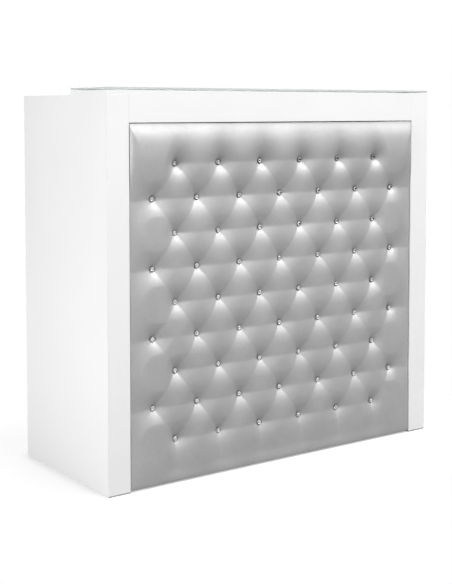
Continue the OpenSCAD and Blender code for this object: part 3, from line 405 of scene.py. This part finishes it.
class Cover:
    """Depth of the stretched cover behind its crown, on a grid over the panel."""

    # Distance of the grid's points, and how far the grid goes beyond the panel
    step = 2.0 * MM
    margin = 130 * MM
    # How far the foam spreads a pull, and the size of the spot where a button pulls
    reach = 90 * MM
    spot_size = 3 * MM
    # Depth of the borders beyond the buttons
    flank_depth = 0.5 * MM
    # Most that the foam swells in front of its crown
    swell = 1.5 * MM
    # Sag of the padding round a button, and how far it reaches
    sag, sag_reach = 1.3 * MM, 26 * MM
    # Pleats: width, pull at their ends, and pull in their middle
    diagonal = 1.5 * MM, 0.82, 0.10
    level = 3 * MM, 0.74, 0.18
    sideways = 1.5 * MM, 0.7, 0.12
    downward = 1.5 * MM, 0.8, 0.10
    upward = 5 * MM, 0.6, 0.03
    # Drop of the pleats that run sideways, and run of the others beyond the panel
    side_drop = 5 * MM
    beyond_low, beyond_top = 120 * MM, 110 * MM
    # Start of the even pulls beside and beyond the outermost buttons, and their ramp
    apron_beside, apron_beyond = 10 * MM, 20 * MM
    apron_ramp = 60 * MM
    # Distance from the outermost buttons of the points where the borders' depth is taken
    flank_beside, flank_beyond = 40 * MM, 60 * MM
    # Grooves in the diagonal pleats
    groove_width = 2.2 * MM
    # Slow waves of the foam
    wave_size, wave_height = 30 * MM, 0.35 * MM
    # Small folds round a button: their distance from it and their length
    gather_at, gather_length = 14 * MM, 8 * MM

    def __init__(self, seed=4):
        self.rng = np.random.RandomState(seed)
        self.x = np.arange(PAD_LOW.x - self.margin, PAD_HIGH.x + self.margin, self.step)
        self.z = np.arange(PAD_LOW.z - self.margin, PAD_HIGH.z + self.margin, self.step)
        self.grid_x, self.grid_z = np.meshgrid(self.x, self.z)
        kx = np.fft.fftfreq(len(self.x), self.step) * 2 * math.pi
        kz = np.fft.fftfreq(len(self.z), self.step) * 2 * math.pi
        self.waves = kx[None, :] ** 2 + kz[:, None] ** 2

    def solve(self, load):
        """Deflection of a skin on a bed of foam under a load."""
        return np.real(np.fft.ifft2(np.fft.fft2(load) / (self.waves + 1 / self.reach ** 2)))

    def spot(self, x, z, size):
        """A pull of 1 in all, spread round a point."""
        near = (self.grid_x - x) ** 2 + (self.grid_z - z) ** 2
        return np.exp(-near / (2 * size ** 2)) / (2 * math.pi * size ** 2)

    def line(self, a, b, size, ends, middle):
        """A pull along the line from a to b, stronger at its ends than in its middle."""
        a, b = np.array(a), np.array(b)
        along = b - a
        length = np.linalg.norm(along)
        t = ((self.grid_x - a[0]) * along[0] + (self.grid_z - a[1]) * along[1]) / length ** 2
        off = ((self.grid_x - a[0]) * along[1] - (self.grid_z - a[1]) * along[0]) / length
        inside = np.clip(t, 0, 1)
        far = off ** 2 + ((t - inside) * length) ** 2
        pull = middle + (ends - middle) * (2 * inside - 1) ** 2
        return pull * np.exp(-far / (2 * size ** 2)) / (math.sqrt(2 * math.pi) * size)

    def sample(self, field, x, z):
        """Field at points, by bilinear interpolation."""
        fx = (np.asarray(x) - self.x[0]) / self.step
        fz = (np.asarray(z) - self.z[0]) / self.step
        ix, iz = np.floor(fx).astype(int), np.floor(fz).astype(int)
        fx, fz = fx - ix, fz - iz
        return (field[iz, ix] * (1 - fx) * (1 - fz) + field[iz, ix + 1] * fx * (1 - fz)
                + field[iz + 1, ix] * (1 - fx) * fz + field[iz + 1, ix + 1] * fx * fz)

    def joined(self, x, row):
        """Buttons of a neighbouring row that a diagonal pleat joins to a button at x."""
        return [(nx, nz) for nx, nz in row if abs(nx - x) < NEIGHBOUR]

    def pleats(self, rows):
        """Pulls along the folds between neighbouring buttons and out to the borders."""
        total = np.zeros_like(self.grid_x)
        width, ends, middle = self.diagonal
        for row, above in zip(rows, rows[1:] + [[]]):
            for x, z in row:
                for there in self.joined(x, above):
                    pull = self.rng.uniform(0.75, 1.25)
                    total += self.line((x, z), there, width, ends * pull, middle * pull)
            for here, there in zip(row, row[1:]):
                total += self.line(here, there, *self.level)
            if len(row) == WIDE:
                for (x, z), side in ((row[0], PAD_LOW.x), (row[-1], PAD_HIGH.x)):
                    total += self.line((x, z), (side, z - self.side_drop), *self.sideways)
        for x, z in rows[0]:
            total += self.line((x, z), (x, PAD_LOW.z - self.beyond_low), *self.downward)
        for x, z in rows[-1]:
            total += self.line((x, z), (x, PAD_HIGH.z + self.beyond_top), *self.upward)
        return total

    def make(self):
        """Depth of the cover behind its crown, on the grid."""
        rows = button_rows()
        xs, zs = np.array([b for row in rows for b in row]).T
        turns = np.arange(8) * math.pi / 4
        ring_x = xs[:, None] + RIM_R * np.cos(turns)
        ring_z = zs[:, None] + RIM_R * np.sin(turns)
        fields = [self.solve(self.spot(x, z, self.spot_size)) for x, z in zip(xs, zs)]
        fields += [self.solve(apron) for apron in self.aprons()]
        folds = self.solve(self.pleats(rows))

        def heights(field):
            """Depths at the buttons and on the borders, behind the crowns."""
            rings = self.sample(field, ring_x, ring_z).mean(1)
            flanks = [self.sample(field, *flank).mean() for flank in self.flanks()]
            return np.append(rings, flanks) - self.sample(field, *self.cells(rows)).mean()

        wanted = np.append(SEAM_Y - crown(zs), [self.flank_depth] * 3) - heights(folds)
        pull = np.linalg.solve(np.array([heights(f) for f in fields]).T, wanted)
        depth = sum(p * f for p, f in zip(pull, fields)) + folds
        depth -= self.sample(depth, *self.cells(rows)).mean()
        swollen = self.swell * (np.exp(np.minimum(depth, 0) / (2 * self.swell)) - 1)
        depth = np.where(depth < 0, swollen, depth)
        depth += self.sagging(xs, zs) + self.unevenness() + self.gathers(xs, zs)
        return depth + self.grooves(rows)

    def aprons(self):
        """Even pulls on the borders beyond the buttons: sides, top and bottom."""
        sides = smooth((np.abs(self.grid_x) - (FIELD_X + self.apron_beside)) / self.apron_ramp)
        top = smooth((self.grid_z - (ROW_Z[-1] + self.apron_beyond)) / self.apron_ramp)
        low = smooth((ROW_Z[0] - self.apron_beyond - self.grid_z) / self.apron_ramp)
        return sides * (1 - top) * (1 - low), top, low

    def flanks(self):
        """Points on the same three borders: sides, top and bottom."""
        edge = FIELD_X + self.flank_beside
        beside = [(side * edge, z) for z in ROW_Z[2:-2:2] for side in (-1, 1)]
        across = [i * PITCH for i in range(-2, 3)]
        above = [(x, ROW_Z[-1] + self.flank_beyond) for x in across]
        below = [(x, ROW_Z[0] - self.flank_beyond) for x in across]
        return [np.array(places).T for places in (beside, above, below)]

    def cells(self, rows):
        """Middles of the triangles between the buttons, where the cover stands highest."""
        xs, zs = [], []
        for k in range(len(rows) - 1):
            for (x0, z0), (x1, _) in zip(rows[k], rows[k][1:]):
                xs.append((x0 + x1) / 2)
                zs.append(z0 + (rows[k + 1][0][1] - z0) / 3)
        return np.array(xs), np.array(zs)

    def sagging(self, xs, zs):
        """The padding hangs a little, so it is fuller below each button than above."""
        total = np.zeros_like(self.grid_x)
        for x, z in zip(xs, zs):
            dx, dz = self.grid_x - x, self.grid_z - z
            total += dz * np.exp(-(dx ** 2 + dz ** 2) / (2 * self.sag_reach ** 2))
        return total * self.sag / self.sag_reach

    def grooves(self, rows):
        """Narrow grooves where the cover folds over itself between neighbouring buttons."""
        total = np.zeros_like(self.grid_x)
        for row, above in zip(rows, rows[1:]):
            for x, z in row:
                for there in self.joined(x, above):
                    deep = self.rng.uniform(0.10, 0.35) * MM
                    total += self.line((x, z), there, self.groove_width, deep, 0.6 * deep)
        return total * math.sqrt(2 * math.pi) * self.groove_width

    def unevenness(self):
        """Slow waves of the foam."""
        wave = self.rng.normal(size=self.grid_x.shape)
        soft = np.exp(-self.waves * self.wave_size ** 2 / 2)
        wave = np.real(np.fft.ifft2(np.fft.fft2(wave) * soft))
        return wave / wave.std() * self.wave_height

    def gathers(self, xs, zs):
        """Small folds that run into each button."""
        total = np.zeros_like(self.grid_x)
        for x, z in zip(xs, zs):
            dx, dz = self.grid_x - x, self.grid_z - z
            far = np.hypot(dx, dz)
            band = np.exp(-((far - self.gather_at) / self.gather_length) ** 2)
            turn = np.arctan2(dz, dx)
            phase = self.rng.uniform(0, 2 * math.pi, 2)
            wave = np.cos(7 * turn + phase[0]) + 0.7 * np.cos(5 * turn + phase[1])
            total += band * wave * self.rng.uniform(0.08, 0.20) * MM
        return total


def graded(low, high, roll_steps, step):
    """Grid lines from low to high: an even run, and closer lines on the rolled edges."""
    turns = [math.pi / 2 * i / roll_steps for i in range(roll_steps)]
    edge = [ROLL * (1 - math.cos(t)) for t in turns]
    run = np.linspace(low + ROLL, high - ROLL, int((high - low - 2 * ROLL) / step) + 1)
    return np.concatenate([[low + e for e in edge], run, [high - e for e in reversed(edge)]])


def border(gx, gz):
    """Fall of the padding toward its edges: slow at the top, short at the other three."""
    in_x = np.minimum(gx - PAD_LOW.x, PAD_HIGH.x - gx)
    below_top, above_low = PAD_HIGH.z - gz, gz - PAD_LOW.z
    whole = EDGE_Y - crown(gz)
    top = (whole + TOP_SINK) * np.exp(-(below_top / TOP_FALL) ** 1.5)
    side = whole * np.exp(-in_x / SIDE_FALL)
    low = (whole + LOW_SINK) * np.exp(-above_low / LOW_FALL)
    ox = np.clip(1 - in_x / ROLL, 0, 1)
    oz = np.clip(1 - np.minimum(below_top, above_low) / ROLL, 0, 1)
    out = np.clip((ox ** 4 + oz ** 4) ** 0.25, 0, 1)
    fall = np.maximum(np.maximum(top, side), low)
    return fall + ROLL * (1 - np.sqrt(1 - out ** 2))


def cover_front():
    """Points of the cover's front on a grid, and which of them lie on its sides and on its ends."""
    cover = Cover()
    depth = cover.make()
    xs = graded(PAD_LOW.x, PAD_HIGH.x, ROLL_STEPS, COVER_STEP)
    zs = graded(PAD_LOW.z, PAD_HIGH.z, ROLL_STEPS, COVER_STEP)
    gx, gz = np.meshgrid(xs, zs)
    in_x = np.minimum(gx - PAD_LOW.x, PAD_HIGH.x - gx)
    in_z = np.minimum(gz - PAD_LOW.z, PAD_HIGH.z - gz)
    fade = smooth(np.minimum(in_x, in_z) / RELIEF_FROM)
    relief = cover.sample(depth, gx, gz) * (EDGE_RELIEF + (1 - EDGE_RELIEF) * fade)
    y = np.minimum(crown(gz) + border(gx, gz) + relief, SEAT_Y)
    return np.stack([gx, y, gz], -1), in_x < SAME, in_z < SAME


def cover_shell(front, on_side, on_end):
    """Points and faces of the closed cover: its front, its flank ring by ring, and its flat back."""
    rows, cols = on_side.shape
    front = front.reshape(-1, 3)
    number = np.arange(rows * cols).reshape(rows, cols)
    quads = np.stack([number[:-1, :-1], number[:-1, 1:], number[1:, 1:], number[1:, :-1]], -1)
    outline = np.concatenate([number[0, :-1], number[:-1, -1], number[-1, :0:-1], number[:0:-1, 0]])
    points, faces = [front], quads.reshape(-1, 4).tolist()
    middle_x, middle_z = (PAD_LOW.x + PAD_HIGH.x) / 2, (PAD_LOW.z + PAD_HIGH.z) / 2
    last, base = outline, rows * cols
    for i in range(1, FLANK_STEPS + 1):
        t = i / FLANK_STEPS
        draw = FLANK_DRAW * t * t
        level = front[outline].copy()
        level[:, 0] -= np.sign(level[:, 0] - middle_x) * draw * on_side.flatten()[outline]
        level[:, 1] += (PAD_HIGH.y - level[:, 1]) * t
        level[:, 2] -= np.sign(level[:, 2] - middle_z) * draw * on_end.flatten()[outline]
        points.append(level)
        here = base + np.arange(len(outline))
        faces += np.stack([last, here, np.roll(here, -1), np.roll(last, -1)], -1).tolist()
        last = here
        base += len(outline)
    points.append(np.array([[middle_x, PAD_HIGH.y, middle_z]]))
    faces += np.stack([last, np.full(len(outline), base), np.roll(last, -1)], -1).tolist()
    return np.concatenate(points).tolist(), faces


def make_cover():
    """The tufted cover: a fine skin with rolled edges, closed at its back."""
    points, faces = cover_shell(*cover_front())
    mesh = bpy.data.meshes.new("tufted_cover")
    mesh.from_pydata(points, [], faces)
    mesh.polygons.foreach_set("use_smooth", [True] * len(mesh.polygons))
    mesh.materials.append(MATERIALS["leatherette"])
    piece = bpy.data.objects.new("tufted_cover", mesh)
    bpy.context.scene.collection.objects.link(piece)
    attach(piece, "desk")
    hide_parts("tufted_pad")


# Crystals

# Radii of a stone's culet, middle ring and table
CULET_R, MID_R, TABLE_R = 2.2 * MM, 5.0 * MM, 3.5 * MM
# Heights of its girdle and its middle ring over its seat
GIRDLE_H, MID_H = 4.0 * MM, 5.8 * MM


def ring(radius, y, count, turn=0.0):
    """Points of a regular ring round the Y axis."""
    angles = [(i + turn) * 2 * math.pi / count for i in range(count)]
    return [(radius * math.cos(a), y, radius * math.sin(a)) for a in angles]


def cut_stone():
    """Points and faces of a cut stone that faces -Y, with its silvered faces counted last."""
    points = (ring(CULET_R, GEM_HIGH.y - SEAT_Y, 8, 0.5) + ring(GEM_R, -GIRDLE_H, 16)
              + ring(MID_R, -MID_H, 8, 0.5) + ring(TABLE_R, GEM_LOW.y - SEAT_Y, 8))
    back, girdle, mid, table = 0, 8, 24, 32
    clear = [[table + i for i in reversed(range(8))]]
    silver = [[back + i for i in range(8)]]
    for i in range(8):
        left, here, right = girdle + 2 * i, girdle + 2 * i + 1, girdle + (2 * i + 2) % 16
        before, after = (i - 1) % 8, (i + 1) % 8
        clear.append([table + i, mid + i, table + after])
        clear.append([table + i, mid + before, left, mid + i])
        clear.append([mid + i, left, here])
        clear.append([mid + i, here, right])
        silver.append([back + i, here, left])
        silver.append([back + i, right, here])
        silver.append([back + i, back + after, right])
    return points, clear, silver


def make_gems(seed=7):
    """One cut stone in each button, each turned a little differently."""
    rng = np.random.RandomState(seed)
    points, clear, silver = cut_stone()
    all_points, all_faces, backs = [], [], []
    for row in button_rows():
        for x, z in row:
            base = len(all_points)
            turn = rng.uniform(0, math.pi / 4)
            c, s = math.cos(turn), math.sin(turn)
            all_points += [(x + px * c - pz * s, SEAT_Y + py, z + px * s + pz * c)
                           for px, py, pz in points]
            for face in clear + silver:
                all_faces.append([base + i for i in face])
            backs += [0] * len(clear) + [1] * len(silver)
    mesh = bpy.data.meshes.new("cut_crystals")
    mesh.from_pydata(all_points, [], all_faces)
    mesh.materials.append(MATERIALS["crystal"])
    mesh.materials.append(silvered())
    mesh.polygons.foreach_set("material_index", backs)
    piece = bpy.data.objects.new("cut_crystals", mesh)
    bpy.context.scene.collection.objects.link(piece)
    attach(piece, "desk")
    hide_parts("button_crystals")


# Studio

FLOOR_SIZE = 60
# Grey of the floor in the light that it bounces, and as it is seen
BOUNCED_GREY, SEEN_GREY = 0.29, 0.90
# Share of plain white in the floor that is seen, under the desk and beside it
WHITE_UNDER, WHITE_BESIDE = 0.45, 0.82
# Distances from the desk in metres where the second share is reached, and where all is white
BESIDE_FROM, WHITE_FROM = 0.04, 0.45
# Strength of the light from all round
ROOM_LIGHT = 0.13


def seen_rays(tree):
    """1 for rays that see the studio straight or through glass."""
    path = node(tree, "ShaderNodeLightPath").outputs
    seen = node(tree, "ShaderNodeMath", operation="MAXIMUM")
    tree.links.new(path["Is Camera Ray"], seen.inputs[0])
    tree.links.new(path["Is Transmission Ray"], seen.inputs[1])
    return seen.outputs[0]


def make_floor():
    """A pale floor with a soft shadow, white farther off, and greyer in the light that it bounces."""
    bpy.ops.mesh.primitive_plane_add(size=FLOOR_SIZE)
    floor = bpy.context.object
    floor.name = "floor"
    made = bpy.data.materials.new("floor")
    made.use_nodes = True
    tree = made.node_tree
    tree.nodes.clear()
    bounced = node(tree, "ShaderNodeBsdfDiffuse", {"Color": (*grey(BOUNCED_GREY), 1)})
    lit = node(tree, "ShaderNodeBsdfDiffuse", {"Color": (*grey(SEEN_GREY), 1)})
    far = node(tree, "ShaderNodeEmission", {"Color": (1, 1, 1, 1), "Strength": 1.0})
    at = node(tree, "ShaderNodeTexCoord").outputs["Object"]
    half = tuple(CAD_BOX[1][:2]) + (1,)
    side = node(tree, "ShaderNodeVectorMath", {0: at}, operation="ABSOLUTE").outputs[0]
    past = node(tree, "ShaderNodeVectorMath", {0: side, 1: half}, operation="SUBTRACT").outputs[0]
    past = node(tree, "ShaderNodeVectorMath", {0: past}, operation="MAXIMUM").outputs[0]
    away = node(tree, "ShaderNodeVectorMath", {0: past}, operation="LENGTH").outputs["Value"]
    fade = node(tree, "ShaderNodeMapRange",
                {"Value": away, "From Max": WHITE_FROM}, interpolation_type="SMOOTHSTEP")
    near = node(tree, "ShaderNodeMapRange",
                {"Value": away, "From Max": BESIDE_FROM, "To Min": WHITE_UNDER,
                 "To Max": WHITE_BESIDE},
                interpolation_type="SMOOTHSTEP")
    share = node(tree, "ShaderNodeMath", {0: near.outputs["Result"], 1: fade.outputs["Result"]},
                 operation="MAXIMUM")
    seen = node(tree, "ShaderNodeMixShader", {0: share.outputs[0], 1: lit.outputs[0],
                                              2: far.outputs[0]})
    both = node(tree, "ShaderNodeMixShader", {0: seen_rays(tree), 1: bounced.outputs[0],
                                              2: seen.outputs[0]})
    end = node(tree, "ShaderNodeOutputMaterial", {"Surface": both.outputs[0]})
    end.is_active_output = True
    floor.data.materials.append(made)


def make_world():
    """White to the eye, and a soft grey light for the object."""
    world = bpy.data.worlds.new("studio")
    bpy.context.scene.world = world
    world.use_nodes = True
    tree = world.node_tree
    tree.nodes.clear()
    light = node(tree, "ShaderNodeBackground", {"Color": (1, 1, 1, 1), "Strength": ROOM_LIGHT})
    seen = node(tree, "ShaderNodeBackground", {"Color": (1, 1, 1, 1), "Strength": 1.0})
    both = node(tree, "ShaderNodeMixShader", {0: seen_rays(tree), 1: light.outputs[0],
                                              2: seen.outputs[0]})
    node(tree, "ShaderNodeOutputWorld", {"Surface": both.outputs[0]})


def softbox(name, at, aim, size, watts):
    """A rectangular lamp that faces a point."""
    data = bpy.data.lights.new(name, "AREA")
    data.shape = "RECTANGLE"
    data.size, data.size_y = size
    data.energy = watts
    lamp = bpy.data.objects.new(name, data)
    lamp.location = at
    lamp.rotation_euler = (Vector(aim) - Vector(at)).to_track_quat("-Z", "Y").to_euler()
    bpy.context.scene.collection.objects.link(lamp)


def make_lights():
    """A large lamp above the customer's side, and weaker ones to the left, to the right and behind."""
    softbox("key", (1.31, -2.89, 5.16), (0, -0.2, 0.55), (4.6, 4.0), 465)
    softbox("side", (-3.3, -0.6, 0.80), (-0.6, 0, 0.30), (1.8, 1.8), 80)
    softbox("right", (2.6, 0.4, 3.0), (0.6, 0, 0.5), (1.6, 1.6), 45)
    softbox("back", (1.2, 3.2, 2.4), (0, 0.2, 0.7), (2.4, 1.6), 85)


make_camera()
dress_cad()
make_cover()
make_gems()
make_floor()
make_world()
make_lights()
bpy.context.scene.view_settings.view_transform = "Standard"
